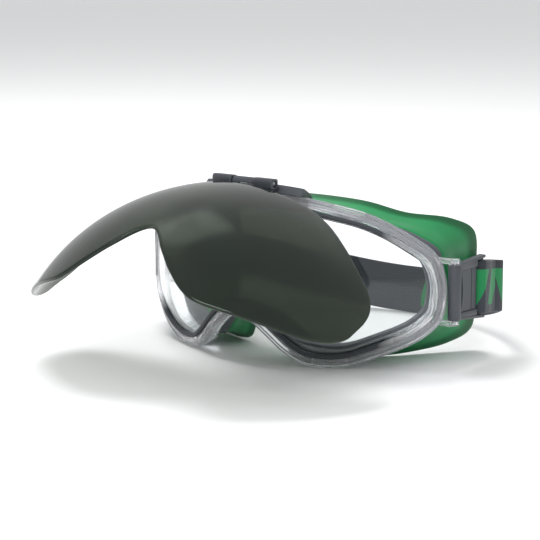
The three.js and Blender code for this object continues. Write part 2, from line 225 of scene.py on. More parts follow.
VENTS = {
    "top_left": (0.062, 0.084),
    "top_right": (0.916, 0.938),
    "bottom_left": (0.326, 0.372),
    "bottom_right": (0.628, 0.674),
}

# Hinge across the frame's top edge
LUG_HALF = 5.8
LUG_RADIUS = 2.1
PIN_RADIUS = 1.2
PIN_HALF = 16.6
HINGE_BORE_RADIUS = 1.5
KNUCKLE_INNER_X = 6.2
KNUCKLE_OUTER_X = 17
ARM_FROM = 7.4
ARM_TO = 19
PLATE_HALF = 19.5
BRACKET_SHARE = 0.037

# Strap clips: pin line and direction on the wearer's left
CLIP_PIN = (85.9, 40.9)
CLIP_AIM = (0.041, 0.99916)
CLIP_MID_Z = -46.8
CLIP_HEIGHT = 25
CLIP_LENGTH = 21.5
CLIP_FLARE = 0.09
CLIP_BARREL_RADIUS = 3
CLIP_BORE_RADIUS = 1.3
CLIP_PIN_RADIUS = 1
EAR_RADIUS = 2.1
PIN_BORE_REACH = 14.4
BAR_AT = 19.5
PANEL_END = 15.8
BAR_RADIUS = 1.4

STRAP_THICKNESS = 1.5
STRAP_CENTRE_Y = 45
STRAP_HALF_WIDTH = 93.5
STRAP_REACH = 86
STRAP_DROOP = 0.15
STRAP_SAG = 19.425
TAIL_END_AT = 32
LOOP_START_AT = 40
TAIL_PRINT = 45
LOOP_PRINT = (129, 139)
SIDES = {"left": 1, "right": -1}


# ---------------------------------------------------------------- shapes


def mirrored(half):
    """A closed half outline with its other side added."""
    points = [Vector((*p, 0)) if len(p) == 2 else Vector(p) for p in half]
    other = [Vector((-p.x, p.y, p.z)) for p in points[-2:0:-1]]
    return points + other


def along(points, share):
    """A point on the smooth closed curve through points."""
    place = (share % 1.0) * len(points)
    i = int(place)
    w = place - i
    p0, p1, p2, p3 = (points[(i + k) % len(points)] for k in (-1, 0, 1, 2))
    d0, d1, d2 = (max((b - a).length ** 0.5, 1e-4) for a, b in ((p0, p1), (p1, p2), (p2, p3)))
    m1 = ((p1 - p0) / d0 - (p2 - p0) / (d0 + d1) + (p2 - p1) / d1) * d1
    m2 = ((p2 - p1) / d1 - (p3 - p1) / (d1 + d2) + (p3 - p2) / d2) * d1
    return p1 + m1 * w + (3 * (p2 - p1) - 2 * m1 - m2) * w**2 + (2 * (p1 - p2) + m1 + m2) * w**3


def heading(points, share):
    return (along(points, share + 1e-4) - along(points, share - 1e-4)).normalized()


def inset_point(points, share, inset):
    way = heading(points, share)
    p = along(points, share)
    return p.x + way.y * inset, p.y - way.x * inset


def wrap_point(wrap, round_, z, out):
    """A point on a wrap surface, `out` mm in front of it."""
    angle = round_ / wrap["radius"]
    slope = (z - wrap["mid_z"]) / wrap["dome"]
    radius = wrap["radius"] - (z - wrap["mid_z"]) * slope / 2
    normal = Vector((math.sin(angle), -math.cos(angle), slope)).normalized()
    base = Vector((radius * math.sin(angle), wrap["centre_y"] - radius * math.cos(angle), z))
    return base + normal * out


def softened(profile, radius, steps=4):
    """A closed profile with its corners rounded."""
    points = [Vector(p) for p in profile]
    out = []
    for i, corner in enumerate(points):
        before = points[i - 1] - corner
        after = points[(i + 1) % len(points)] - corner
        start = corner + before.normalized() * min(radius, before.length * 0.45)
        end = corner + after.normalized() * min(radius, after.length * 0.45)
        for k in range(steps + 1):
            t = k / steps
            out.append((1 - t) ** 2 * start + 2 * t * (1 - t) * corner + t * t * end)
    return out


FRAME_CURVE = mirrored(FRAME_OUTLINE)
FLANGE_CURVE = mirrored(FLANGE_EDGE)
VISOR_CURVE = mirrored(VISOR_OUTLINE)


def finish_mesh(mesh, angle):
    """Welds, points every face outwards and smooths all but the sharp edges."""
    bm = bmesh.new()
    bm.from_mesh(mesh)
    bmesh.ops.remove_doubles(bm, verts=bm.verts, dist=1e-7)
    bmesh.ops.recalc_face_normals(bm, faces=bm.faces)
    if bm.calc_volume(signed=True) < 0:
        bmesh.ops.reverse_faces(bm, faces=bm.faces)
    bm.to_mesh(mesh)
    bm.free()
    for face in mesh.polygons:
        face.use_smooth = True
    mesh.set_sharp_from_angle(angle=math.radians(angle))


def loft(name, sections, ring=False, angle=35):
    """A closed solid through closed sections, in millimetres from the hinge line."""
    count = len(sections[0])
    verts = [HINGE + p * MM for section in sections for p in section]
    faces = []
    for i in range(len(sections) if ring else len(sections) - 1):
        a, b = i * count, (i + 1) % len(sections) * count
        for j in range(count):
            k = (j + 1) % count
            faces.append((a + j, a + k, b + k, b + j))
    if not ring:
        faces.append(tuple(range(count)))
        faces.append(tuple(range(len(verts) - 1, len(verts) - 1 - count, -1)))
    mesh = bpy.data.meshes.new(name)
    mesh.from_pydata(verts, [], faces)
    finish_mesh(mesh, angle)
    obj = bpy.data.objects.new(name, mesh)
    bpy.context.scene.collection.objects.link(obj)
    return obj


def depth_at(share):
    """How far the frame reaches back: less over the nose."""
    t = min(max((abs(share - 0.5) - 0.08) / 0.045, 0), 1)
    return NOSE_DEPTH + (FRAME_DEPTH - NOSE_DEPTH) * t * t * (3 - 2 * t)


def frame_section(share, profile):
    return [wrap_point(FRAME_WRAP, *inset_point(FRAME_CURVE, share, a), b) for a, b in profile]


def frame_arc(name, profile, start, end, steps):
    """A profile of [inset, out] pairs run along part of the clear frame's outline."""
    shares = [start + (end - start) * i / steps for i in range(steps + 1)]
    return loft(name, [frame_section(share, profile) for share in shares])


def frame_ring(name, profile_at, steps=216):
    """A profile run right round the outline; profile_at gives it for each share of the way."""
    shares = [i / steps for i in range(steps)]
    return loft(name, [frame_section(share, profile_at(share)) for share in shares], ring=True)


def rod(name, radius, start, end, dome=0.0, segments=40):
    """A round bar between two points, with rounded ends."""
    start, end = Vector(start), Vector(end)
    axis = (end - start).normalized()
    across = axis.orthogonal().normalized()
    beside = axis.cross(across)
    steps = [(0, 1 - dome), (dome * 0.3, 1 - dome * 0.3), (dome, 1)] if dome else [(0, 1)]
    steps = [(a * radius, b * radius) for a, b in steps]
    rings = [(start + axis * a, b) for a, b in steps]
    rings += [(end - axis * a, b) for a, b in reversed(steps)]
    sections = []
    for centre, size in rings:
        turns = (2 * math.pi * k / segments for k in range(segments))
        sections.append([centre + (across * math.cos(t) + beside * math.sin(t)) * size for t in turns])
    return loft(name, sections)


def block(name, low, high, radius=0.4, place=None):
    """A box between two corners with rounded edges; place moves its points first."""
    low, high = Vector(low), Vector(high)
    plan = softened([(low.x, low.y), (high.x, low.y), (high.x, high.y), (low.x, high.y)], radius)
    middle = (low + high) / 2
    sections = []
    for z, shrink in ((low.z, radius), (low.z + radius * 0.3, radius * 0.3), (low.z + radius, 0),
                      (high.z - radius, 0), (high.z - radius * 0.3, radius * 0.3), (high.z, radius)):
        ring = []
        for p in plan:
            x = p.x - math.copysign(min(shrink, abs(p.x - middle.x)), p.x - middle.x)
            y = p.y - math.copysign(min(shrink, abs(p.y - middle.y)), p.y - middle.y)
            ring.append(Vector((x, y, z)) if place is None else place(Vector((x, y, z))))
        sections.append(ring)
    return loft(name, sections)


def baked(obj):
    """The evaluated mesh of an object, with its modifiers removed."""
    graph = bpy.context.evaluated_depsgraph_get()
    evaluated = obj.evaluated_get(graph)
    mesh = bpy.data.meshes.new_from_object(evaluated, preserve_all_data_layers=True, depsgraph=graph)
    obj.modifiers.clear()
    obj.data = mesh
    return obj


def carve(obj, tools, operation, angle=35):
    """Joins tools to a solid, or takes them out of it."""
    for tool in tools:
        cut = obj.modifiers.new("carve", "BOOLEAN")
        cut.operation = operation
        cut.solver = "MANIFOLD"
        cut.object = tool
        baked(obj)
        bpy.data.objects.remove(tool)
    finish_mesh(obj.data, angle)
    return obj


def dress(obj, material, slot, body, *nodes):
    """Gives a finished piece its material, slot and body, and hides what it stands for."""
    obj.data.materials.clear()
    obj.data.materials.append(material)
    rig.slot(obj, slot)
    if nodes:
        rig.replaces(obj, *nodes)
    if body:
        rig.ride(obj, body)
    return obj


# ---------------------------------------------------------------- finishes


class Finish:
    """A material and short ways to add nodes to it."""

    def __init__(self, name):
        self.material = bpy.data.materials.new(name)
        self.material.use_nodes = True
        self.tree = self.material.node_tree
        self.shader = self.tree.nodes["Principled BSDF"]
        self.coords = self.tree.nodes.new("ShaderNodeTexCoord")

    def set(self, **values):
        for key, value in values.items():
            self.shader.inputs[key.replace("_", " ").title().replace("Ior", "IOR")].default_value = value
        return self

    def node(self, kind, **inputs):
        node = self.tree.nodes.new(kind)
        for key, value in inputs.items():
            name = key.replace("_", " ").title()
            if isinstance(value, bpy.types.NodeSocket):
                self.tree.links.new(value, node.inputs[name])
            else:
                node.inputs[name].default_value = value
        return node

    def noise(self, scale, detail=3, roughness=0.5, vector=None):
        spot = vector or self.coords.outputs["Object"]
        node = self.node("ShaderNodeTexNoise", vector=spot, scale=scale, detail=detail, roughness=roughness)
        return node.outputs["Fac"]

    def spread(self, value, low, high, start=0.3, end=0.7):
        """Maps a value between start and end to low and high."""
        node = self.tree.nodes.new("ShaderNodeMapRange")
        self.tree.links.new(value, node.inputs["Value"])
        for name, number in (("From Min", start), ("From Max", end), ("To Min", low), ("To Max", high)):
            node.inputs[name].default_value = number
        return node.outputs["Result"]

    def maths(self, kind, first, second=0.0, third=0.0):
        node = self.tree.nodes.new("ShaderNodeMath")
        node.operation = kind
        for socket, value in zip(node.inputs, (first, second, third)):
            if isinstance(value, bpy.types.NodeSocket):
                self.tree.links.new(value, socket)
            else:
                socket.default_value = value
        return node.outputs[0]

    def mix(self, factor, first, second):
        """Blends two colours."""
        node = self.tree.nodes.new("ShaderNodeMix")
        node.data_type = "RGBA"
        for socket, value in zip((node.inputs[0], node.inputs[6], node.inputs[7]), (factor, first, second)):
            if isinstance(value, bpy.types.NodeSocket):
                self.tree.links.new(value, socket)
            else:
                socket.default_value = value
        return node.outputs[2]

    def drive(self, name, value):
        self.tree.links.new(value, self.shader.inputs[name])
        return self

    def bump(self, height, strength, distance):
        node = self.node("ShaderNodeBump", height=height, strength=strength, distance=distance)
        self.tree.links.new(node.outputs[0], self.shader.inputs["Normal"])
        return self

    def let_lamps_through(self, tint):
        """Lamps shine through the piece, tinted, instead of being blocked."""
        clear = self.node("ShaderNodeBsdfTransparent", color=tint)
        path = self.tree.nodes.new("ShaderNodeLightPath")
        mix = self.tree.nodes.new("ShaderNodeMixShader")
        self.tree.links.new(path.outputs["Is Shadow Ray"], mix.inputs[0])
        self.tree.links.new(self.shader.outputs[0], mix.inputs[1])
        self.tree.links.new(clear.outputs[0], mix.inputs[2])
        self.tree.links.new(mix.outputs[0], self.tree.nodes["Material Output"].inputs["Surface"])
        return self


def clear_plastic(looks):
    """Polished clear polycarbonate with faint flow lines and handling marks."""
    f = Finish("clear_polycarbonate")
    f.set(base_color=(*looks.clear_tint, 1), transmission_weight=0.88, ior=1.36)
    f.drive("Roughness", f.spread(f.noise(60, 4), 0.02, 0.07))
    f.bump(f.noise(30, 1), 0.05, 0.002)
    return f.let_lamps_through((0.93, 0.94, 0.96, 1)).material


def clear_pane():
    """Coated clear lens with the lightest grey tint."""
    f = Finish("clear_lens_coated")
    f.set(base_color=(0.9, 0.93, 0.94, 1), transmission_weight=1.0, ior=1.38)
    f.drive("Roughness", f.spread(f.noise(35, 3), 0.0, 0.025, 0.45, 0.8))
    f.bump(f.noise(14, 1), 0.02, 0.002)
    return f.let_lamps_through((0.9, 0.92, 0.93, 1)).material


def smoked_filter(looks):
    """Deep green-grey filter plastic that passes a little light."""
    f = Finish("smoked_filter")
    f.set(transmission_weight=0.85, ior=1.5, specular_tint=(0.82, 1.0, 0.86, 1))
    shade = f.noise(9, 2)
    tint = Vector(looks.filter_tint)
    f.drive("Base Color", f.mix(shade, (*(tint * 0.9), 1), (*(tint * 1.15), 1)))
    f.drive("Roughness", f.spread(f.noise(50, 4), 0.04, 0.11))
    f.bump(f.noise(12, 1), 0.03, 0.002)
    return f.let_lamps_through((0.3, 0.33, 0.29, 1)).material


def moulded_plastic(name, colour, low=0.34, high=0.5):
    """Fine-textured moulded plastic with rubbed patches."""
    f = Finish(name)
    grain = f.noise(2600, 2)
    cloud = f.noise(70, 4)
    c = Vector(colour)
    f.drive("Base Color", f.mix(f.spread(cloud, 0.0, 1.0), (*(c * 0.88), 1), (*(c * 1.14), 1)))
    f.drive("Roughness", f.spread(cloud, low, high))
    f.set(specular_ior_level=0.55)
    return f.bump(grain, 0.22, 0.0001).material


def elastomer(name, colour, low, high, painted_lip_shade=False):
    """Soft moulded rubber: satin skin with a slight bloom and a fine grain. It can also paint shade on a rolled lip,
    darkening the rubber where the attribute reach passes 0.8.
    """
    f = Finish(name)
    c = Vector(colour)
    bloom = f.noise(28, 3)
    body = f.mix(f.spread(bloom, 0.0, 1.0), (*(c * 0.92), 1), (*(c * 1.1), 1))
    if painted_lip_shade:
        # Painted shade: the flange's rolled lip, where reach runs past 0.8 to 0.9, is darkened to 0.42 of the rubber
        # colour
        reach = f.tree.nodes.new("ShaderNodeAttribute")
        reach.attribute_name = "reach"
        lip_shade_mask = f.spread(reach.outputs["Fac"], 0.0, 1.0, 0.8, 0.9)
        body = f.mix(lip_shade_mask, body, (*(c * 0.42), 1))
    f.drive("Base Color", body)
    f.drive("Roughness", f.spread(f.noise(160, 4), low, high))
    f.set(subsurface_weight=0.15, subsurface_scale=0.002, sheen_weight=0.05)
    f.shader.inputs["Subsurface Radius"].default_value = (0.4, 1.0, 0.5)
    return f.bump(f.noise(1500, 3), 0.12, 0.0001).material


def gasket_rubber(looks):
    """Soft lens gasket: dark along the top and bottom, clearing towards the two ends."""
    f = Finish("gasket_rubber")
    split = f.node("ShaderNodeSeparateXYZ")
    f.tree.links.new(f.coords.outputs["Object"], split.inputs[0])
    end = f.spread(f.maths("ABSOLUTE", split.outputs[0]), 0.0, 1.0, 0.062, 0.074)
    cloud = f.noise(80, 3)
    dark = f.mix(cloud, (0.03, 0.034, 0.04, 1), (0.045, 0.05, 0.06, 1))
    f.drive("Base Color", f.mix(end, dark, (*looks.clear_tint, 1)))
    f.drive("Transmission Weight", f.maths("MULTIPLY", end, 0.85))
    f.drive("Roughness", f.spread(end, 0.45, 0.08, 0.0, 1.0))
    f.set(ior=1.4)
    return f.bump(f.noise(900, 2), 0.05, 0.0001).material


def turned_steel():
    """Bright steel with turning marks round the pin."""
    f = Finish("turned_steel")
    rings = f.noise(900, 2)
    f.set(metallic=1.0)
    f.drive("Base Color", f.mix(rings, (0.26, 0.27, 0.29, 1), (0.4, 0.41, 0.42, 1)))
    f.drive("Roughness", f.spread(rings, 0.2, 0.34))
    return f.bump(rings, 0.1, 0.0001).material


def woven_elastic(looks):
    """Woven elastic webbing: lengthwise ribs, cross threads and slanted green bars, with painted shade over the
    strap's upper part.
    """
    f = Finish("woven_elastic")
    uv = f.tree.nodes.new("ShaderNodeUVMap")
    uv.uv_map = "weave"
    split = f.node("ShaderNodeSeparateXYZ")
    f.tree.links.new(uv.outputs[0], split.inputs[0])
    run, across = split.outputs[0], split.outputs[1]
    half = looks.strap_width / 2
    ribs = f.maths("SINE", f.maths("MULTIPLY", across, 2 * math.pi / 0.0011))
    threads = f.maths("SINE", f.maths("MULTIPLY", run, 2 * math.pi / 0.0009))
    weave = f.maths("MULTIPLY", ribs, threads)
    lift = f.maths("ADD", f.maths("MULTIPLY", ribs, 0.35), f.maths("MULTIPLY", weave, 0.4))
    edge = f.maths("ABSOLUTE", across)
    inside = f.spread(edge, 1.0, 0.0, half * 0.66, half * 0.69)
    slanted = f.maths("ADD", run, f.maths("MULTIPLY", across, 0.45))
    wave = f.maths("FRACT", f.maths("DIVIDE", slanted, looks.bar_spacing))
    taper = f.maths("MULTIPLY_ADD", across, 9.0, 0.6)
    bar = f.maths("LESS_THAN", wave, taper)
    mask_node = f.tree.nodes.new("ShaderNodeAttribute")
    mask_node.attribute_name = "printed"
    mask = f.maths("MULTIPLY", f.maths("MULTIPLY", bar, inside), mask_node.outputs["Fac"])
    grey = Vector(looks.webbing_grey)
    fuzz = f.noise(900, 3)
    ground = f.mix(fuzz, (*(grey * 0.75), 1), (*(grey * 1.3), 1))
    # Painted shade: webbing more than about 1.5 mm above the strap's middle is darkened to 0.62 of its ground colour,
    # so the lower part reads lighter
    ground = f.mix(f.spread(across, 0.0, 1.0, half * 0.1, half * 0.16), ground, (*(grey * 0.62), 1))
    green = Vector(looks.green)
    print_ = f.mix(fuzz, (*(green * 0.75), 1), (*(green * 1.1), 1))
    colour = f.mix(mask, ground, print_)
    shade = f.spread(weave, 0.78, 1.08, -1.0, 1.0)
    tone = f.tree.nodes.new("ShaderNodeMix")
    tone.data_type = "RGBA"
    tone.blend_type = "MULTIPLY"
    tone.inputs[0].default_value = 1.0
    f.tree.links.new(colour, tone.inputs[6])
    f.tree.links.new(shade, tone.inputs[7])
    f.drive("Base Color", tone.outputs[2])
    f.drive("Roughness", f.spread(fuzz, 0.72, 0.9))
    f.set(sheen_weight=0.25, sheen_roughness=0.4)
    return f.bump(lift, 0.3, 0.0001).material


# ---------------------------------------------------------------- repeated details


def socket_id(tree, name):
    return next(i.identifier for i in tree.interface.items_tree if i.name == name and i.in_out == "INPUT")


def row_tree(name):
    """Sets one small solid on each point, turned to the point's own axes."""
    tree = bpy.data.node_groups.new(name, "GeometryNodeTree")
    add = tree.interface.new_socket
    add("Geometry", in_out="INPUT", socket_type="NodeSocketGeometry")
    size = add("Size", in_out="INPUT", socket_type="NodeSocketVector")
    size.subtype = "TRANSLATION"
    add("Finish", in_out="INPUT", socket_type="NodeSocketMaterial")
    add("Geometry", in_out="OUTPUT", socket_type="NodeSocketGeometry")
    new, link = tree.nodes.new, tree.links.new
    source, sink = new("NodeGroupInput"), new("NodeGroupOutput")
    solid = new("GeometryNodeMeshCube")
    axes = new("FunctionNodeAxesToRotation")
    axes.primary_axis, axes.secondary_axis = "X", "Z"
    for attribute, socket in (("run", axes.inputs[0]), ("face", axes.inputs[1])):
        read = new("GeometryNodeInputNamedAttribute")
        read.data_type = "FLOAT_VECTOR"
        read.inputs["Name"].default_value = attribute
        link(read.outputs["Attribute"], socket)
    place = new("GeometryNodeInstanceOnPoints")
    link(source.outputs["Geometry"], place.inputs["Points"])
    link(solid.outputs["Mesh"], place.inputs["Instance"])
    link(axes.outputs[0], place.inputs["Rotation"])
    link(source.outputs["Size"], place.inputs["Scale"])
    real = new("GeometryNodeRealizeInstances")
    paint = new("GeometryNodeSetMaterial")
    link(place.outputs[0], real.inputs[0])
    link(real.outputs[0], paint.inputs["Geometry"])
    link(source.outputs["Finish"], paint.inputs["Material"])
    link(paint.outputs[0], sink.inputs[0])
    return tree


def row_of(name, places, size, finish):
    """A row of small solids: places holds (point, run, face) in millimetres."""
    mesh = bpy.data.meshes.new(name)
    mesh.from_pydata([HINGE + p * MM for p, _, _ in places], [], [])
    for attribute, k in (("run", 1), ("face", 2)):
        data = mesh.attributes.new(attribute, "FLOAT_VECTOR", "POINT").data
        data.foreach_set("vector", [c for place in places for c in place[k].normalized()])
    obj = bpy.data.objects.new(name, mesh)
    bpy.context.scene.collection.objects.link(obj)
    tree = row_tree(name + "_nodes")
    nodes = obj.modifiers.new("row", "NODES")
    nodes.node_group = tree
    nodes[socket_id(tree, "Size")] = [c * MM for c in size]
    nodes[socket_id(tree, "Finish")] = finish
    baked(obj)
    finish_mesh(obj.data, 40)
    return obj


def merged(obj, others):
    """Adds other objects' meshes to one object as separate closed shells."""
    bm = bmesh.new()
    for part in [obj, *others]:
        bm.from_mesh(part.data)
    bm.to_mesh(obj.data)
    bm.free()
    for part in others:
        bpy.data.objects.remove(part)
    return obj


# ---------------------------------------------------------------- pieces


def wrap_plate(name, wrap, curve, inset, thickness, slices, rows, move=None):
    """A curved plate with rounded edges that fills an outline."""
    samples = [inset_point(curve, i / 720, inset) for i in range(720)]
    reach = max(p[0] for p in samples) - 0.3
    half = thickness / 2
    bends = [math.pi * k / 8 for k in range(1, 8)]
    sections = []
    for i in range(slices + 1):
        round_ = reach * math.sin(math.pi * (i / slices - 0.5))
        heights = []
        for a, b in zip(samples, samples[1:] + samples[:1]):
            if (a[0] - round_) * (b[0] - round_) <= 0 and a[0] != b[0]:
                heights.append(a[1] + (round_ - a[0]) * (b[1] - a[1]) / (b[0] - a[0]))
        low, high = min(heights), max(heights)
        r = min(half, (high - low) * 0.49)
        ring = [(low + r + (high - low - 2 * r) * j / rows, half) for j in range(rows + 1)]
        ring += [(high - r + r * math.sin(a), half * math.cos(a)) for a in bends]
        ring += [(high - r - (high - low - 2 * r) * j / rows, -half) for j in range(rows + 1)]
        ring += [(low + r - r * math.sin(a), -half * math.cos(a)) for a in bends]
        points = [wrap_point(wrap, round_, z, out) for z, out in ring]
        sections.append([move @ p for p in points] if move else points)
    return loft(name, sections)


def skirt(name, profile, neck, steps=216):
    """A soft skirt between the frame's back and the flange's rear edge."""
    sections = []
    for i in range(steps):
        share = i / steps
        depth = depth_at(share)
        start = inset_point(FRAME_CURVE, share, SEAL_INSET)
        front = wrap_point(FRAME_WRAP, *start, -depth - SEAL_NECK)
        run = along(FLANGE_CURVE, share) - front
        outward = heading(FLANGE_CURVE, share).cross(run).normalized()
        near = frame_section(share, [(inset, -depth - gap) for inset, gap in neck])
        sections.append(near + [front + run * v + outward * h for v, h in profile])
    obj = loft(name, sections, ring=True, angle=50)
    reach = [0.0] * len(neck) + [v for v, _ in profile]
    data = obj.data.attributes.new("reach", "FLOAT", "POINT").data
    data.foreach_set("value", reach * steps)
    return obj


def smooth_profile(profile, count):
    points = [Vector((*p, 0)) for p in profile]
    return [along(points, i / count)[:2] for i in range(count)]


def vent_pocket(share):
    low, high = share
    profile = [(-1, -8.2), (-1, -2.6), (1.6, -2.6), (1.6, -8.2)]
    return frame_arc("pocket", profile, low - 0.0007, high + 0.0007, 10)


class LooksSettings(bpy.types.PropertyGroup):
    """Sizes and colours that a user would change."""

    green: bpy.props.FloatVectorProperty(
        name="Green", description="Colour of the face flange and the strap's bars",
        subtype="COLOR", size=3, min=0, max=1, default=(0.008, 0.25, 0.075))
    clear_tint: bpy.props.FloatVectorProperty(
        name="Frame tint", description="Tint of the clear frame",
        subtype="COLOR", size=3, min=0, max=1, default=(0.95, 0.955, 0.975))
    filter_tint: bpy.props.FloatVectorProperty(
        name="Filter tint", description="Tint of the smoked visor",
        subtype="COLOR", size=3, min=0, max=1, default=(0.0195, 0.0245, 0.0165))
    plastic_grey: bpy.props.FloatVectorProperty(
        name="Plastic grey", description="Colour of the hinge and the strap clips",
        subtype="COLOR", size=3, min=0, max=1, default=(0.052, 0.058, 0.068))
    webbing_grey: bpy.props.FloatVectorProperty(
        name="Webbing grey", description="Ground colour of the strap",
        subtype="COLOR", size=3, min=0, max=1, default=(0.036, 0.044, 0.055))
    strap_width: bpy.props.FloatProperty(
        name="Strap width", description="Width of the elastic strap",
        subtype="DISTANCE", unit="LENGTH", min=0.015, max=0.03, default=0.024)
    bar_spacing: bpy.props.FloatProperty(
        name="Bar spacing", description="Distance between the strap's slanted bars",
        subtype="DISTANCE", unit="LENGTH", min=0.005, max=0.06, default=0.013)
    vent_ribs: bpy.props.IntProperty(
        name="Vent ribs", description="Ribs across each of the lower vents", min=3, max=40, default=14)


class CameraOperator(bpy.types.Operator):
    """Sets the camera at the display angle"""

    bl_idname = "goggles.camera"
    bl_label = "Camera"

    def execute(self, context):
        data = bpy.data.cameras.new("camera")
        data.sensor_width = 36
        data.lens = 18 / math.tan(math.radians(15.38) / 2)
        data.clip_end = 20
        camera = bpy.data.objects.new("camera", data)
        context.scene.collection.objects.link(camera)
        turn, lift = math.radians(38), math.radians(10.5)
        back = Vector((math.sin(turn) * math.cos(lift), -math.cos(turn) * math.cos(lift), math.sin(lift)))
        camera.location = HINGE + Vector((0.0133, 0.00117, -0.0392)) + back * 0.896
        camera.rotation_mode = "QUATERNION"
        camera.rotation_quaternion = (-back).to_track_quat("-Z", "Y")
        context.scene.camera = camera
        return {"FINISHED"}


class StageOperator(bpy.types.Operator):
    """Lays the pale floor and sets the soft studio lights"""

    bl_idname = "goggles.stage"
    bl_label = "Stage and lights"

    def execute(self, context):
        scene = context.scene
        scene.view_settings.view_transform = "Standard"
        f = Finish("pale_floor")
        f.drive("Base Color", f.mix(f.noise(3, 2), (0.93, 0.93, 0.93, 1), (0.95, 0.95, 0.95, 1)))
        f.set(roughness=0.7, specular_ior_level=0.2)
        mesh = bpy.data.meshes.new("floor")
        bm = bmesh.new()
        bmesh.ops.create_circle(bm, cap_ends=True, radius=6, segments=96)
        bm.to_mesh(mesh)
        bm.free()
        mesh.materials.append(f.material)
        floor = bpy.data.objects.new("floor", mesh)
        floor.location.z = -0.0002
        scene.collection.objects.link(floor)
        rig.stage(floor)
        world = bpy.data.worlds.new("studio")
        scene.world = world
        world.use_nodes = True
        world.node_tree.nodes["Background"].inputs[0].default_value = (0.985, 0.99, 1, 1)
        world.node_tree.nodes["Background"].inputs[1].default_value = 0.7
        for name, place, size, power in (
            ("key", (-0.55, 0.25, 1.15), 0.5, 11.0),
            ("front", (0.35, -1.2, 0.95), 0.7, 8.0),
        ):
            data = bpy.data.lights.new(name, "AREA")
            data.size = size
            data.energy = power
            lamp = bpy.data.objects.new(name, data)
            lamp.location = place
            lamp.rotation_mode = "QUATERNION"
            lamp.rotation_quaternion = Vector(place).to_track_quat("Z", "Y")
            lamp.visible_glossy = name != "key"
            scene.collection.objects.link(lamp)
        return {"FINISHED"}


class FrameOperator(bpy.types.Operator):
    """Builds the clear frame with its grooves, ears and vent pockets"""

    bl_idname = "goggles.frame"
    bl_label = "Clear frame"

    def execute(self, context):
        looks = context.scene.goggles_looks
        shell = frame_ring("frame_shell_clear", lambda share: softened([
            (0, -depth_at(share)), (0, -1.6), (0.35, -1.2), (0.35, 0.2), (0, 0.6), (0.1, 1.2),
            (0.9, 2.4), (1.7, 2.4), (2, 1.8), (2.7, 1.8), (3, 2.4), (4.1, 2.4), (4.7, 1.6),
            (4.7, -depth_at(share)),
        ], 0.22, 3))
        adds, cuts = [], []
        for side in SIDES.values():
            x, y = side * CLIP_PIN[0], CLIP_PIN[1]
            for z in (CLIP_MID_Z + 14, CLIP_MID_Z - 14):
                adds.append(rod("ear", EAR_RADIUS, (x, y, z - 1.1), (x, y, z + 1.1), 0.12))
                low, high = sorted((x, x - side * 11))
                adds.append(block("web", (low, y - 3.4, z - 1.1), (high, y + 0.2, z + 1.1), 0.35))
            ends = CLIP_MID_Z - PIN_BORE_REACH, CLIP_MID_Z + PIN_BORE_REACH
            cuts.append(rod("bore", CLIP_BORE_RADIUS, (x, y, ends[0]), (x, y, ends[1])))
        cuts += [vent_pocket(share) for share in VENTS.values()]
        cuts.append(block("ground", (-120, -60, FOOT_Z - 20), (120, 90, FOOT_Z), 0.01))
        carve(shell, adds, "UNION")
        carve(shell, cuts, "DIFFERENCE")
        dress(shell, clear_plastic(looks), "clear_frame", "goggles", "frame_shell")
        return {"FINISHED"}


class LensOperator(bpy.types.Operator):
    """Builds the clear lens and the gasket round it"""

    bl_idname = "goggles.lens"
    bl_label = "Lens and gasket"

    def execute(self, context):
        looks = context.scene.goggles_looks
        pane = wrap_plate("lens_pane", FRAME_WRAP, FRAME_CURVE, 6.2, 2.2, 110, 36)
        dress(pane, clear_pane(), "lens", "goggles", "clear_lens")
        profile = softened([
            (5, -3.4), (5, 2.3), (5.6, 2.8), (6.5, 2.7), (7, 2.2), (7, 1.45),
            (5.85, 1.45), (5.85, -1.45), (7, -1.45), (7, -3.4),
        ], 0.3)
        ring = frame_ring("gasket_ring", lambda share: profile)
        finish = gasket_rubber(looks)
        dress(ring, finish, "dark_plastic", "goggles", "lens_gasket")
        return {"FINISHED"}


class SealOperator(bpy.types.Operator):
    """Builds the grey seal body and the green face flange"""

    bl_idname = "goggles.seal"
    bl_label = "Seal and flange"

    def execute(self, context):
        looks = context.scene.goggles_looks
        body = skirt("seal_skirt", [
            (0, 1.4), (0.05, 1.8), (0.1, 2.1), (0.17, 2.3), (0.24, 2.3), (0.28, 2.0), (0.305, 1.6),
            (0.31, 1.2),
            (0.31, -0.9), (0.3, -1.3), (0.26, -1.5), (0.2, -1.7), (0.1, -1.65), (0, -1.5),
        ], [(SEAL_INSET + 1.5, 0.35), (SEAL_INSET - 1.4, 0.35)])
        grey = elastomer("seal_rubber", (0.075, 0.085, 0.1), 0.45, 0.6)
        dress(body, grey, "soft_grey", "goggles", "seal_body")
        lip = skirt("face_flange_soft", smooth_profile([
            (SEAL_END, 1.5), (0.45, 1.1), (0.62, 0.5), (0.78, 0.6), (0.9, 1.4), (0.97, 2), (1, 1.5),
            (1.01, 0.2), (1, -1.1), (0.94, -1.7), (0.8, -1.6), (0.6, -1.5), (0.45, -1.4), (SEAL_END, -1.3),
        ], 56), [])
        # The flange's rolled lip gets painted shade in its colour, not a darker rubber
        green = elastomer("flange_rubber", tuple(looks.green), 0.32, 0.46, painted_lip_shade=True)
        dress(lip, green, "soft_green", "goggles", "face_flange")
        return {"FINISHED"}


